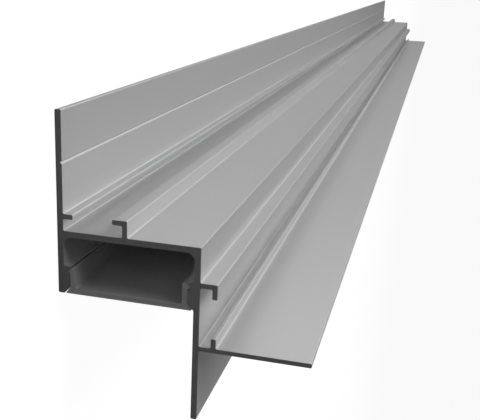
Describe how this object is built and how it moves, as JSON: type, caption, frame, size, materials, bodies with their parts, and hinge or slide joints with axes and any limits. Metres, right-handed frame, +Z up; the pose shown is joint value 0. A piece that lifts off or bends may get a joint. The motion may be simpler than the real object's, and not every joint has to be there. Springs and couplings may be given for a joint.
{
  "type": "extruded aluminium profile",
  "caption": "Straight stick of extruded aluminium profile with a stepped section, fixing flanges, slots for joining plates and a clip-in diffuser over its light channel.",
  "frame": {"origin": "on the floor, under the middle of the stick: on the back face of the tall flange, at mid-length and at the middle of the section's width", "axes": "+Y along the stick, +Z up from the back of the tall flange that it lies on, +X towards the side that the light comes out of"},
  "size_m": [0.0718, 1, 0.0616],
  "materials": {
    "anodised_aluminium": "satin",
    "opal_plastic": "satin"
  },
  "bodies": {
    "root": {"extruded_profile": "anodised_aluminium", "diffuser_cover": "opal_plastic"}
  },
  "joints": []
}
